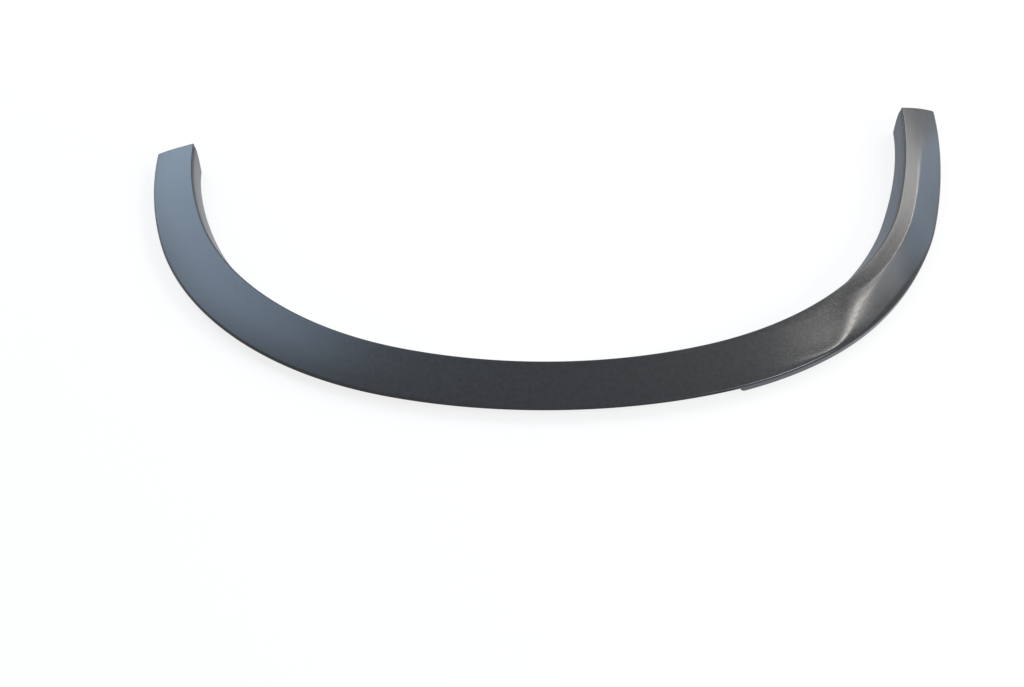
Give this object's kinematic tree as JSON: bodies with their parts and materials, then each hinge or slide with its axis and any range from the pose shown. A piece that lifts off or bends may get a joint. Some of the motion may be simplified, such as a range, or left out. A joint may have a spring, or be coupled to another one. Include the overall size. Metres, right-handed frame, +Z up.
{
  "type": "wheel arch trim",
  "caption": "Open arch of black grained plastic that edges a car's wheel opening: sloping face, inner return flange, creased longer leg, clip seats on its back.",
  "frame": {"origin": "under the middle of the trim's outline, at the level of the return flange's back edge that it rests on", "axes": "+X across the arch towards the longer leg, +Y from the crown towards the ends of the legs, +Z up out of the face"},
  "size_m": [0.8848, 0.4978, 0.0318],
  "materials": {
    "black_plastic": "fine grained, satin"
  },
  "bodies": {
    "root": {"arch_trim": "black_plastic"}
  },
  "joints": []
}
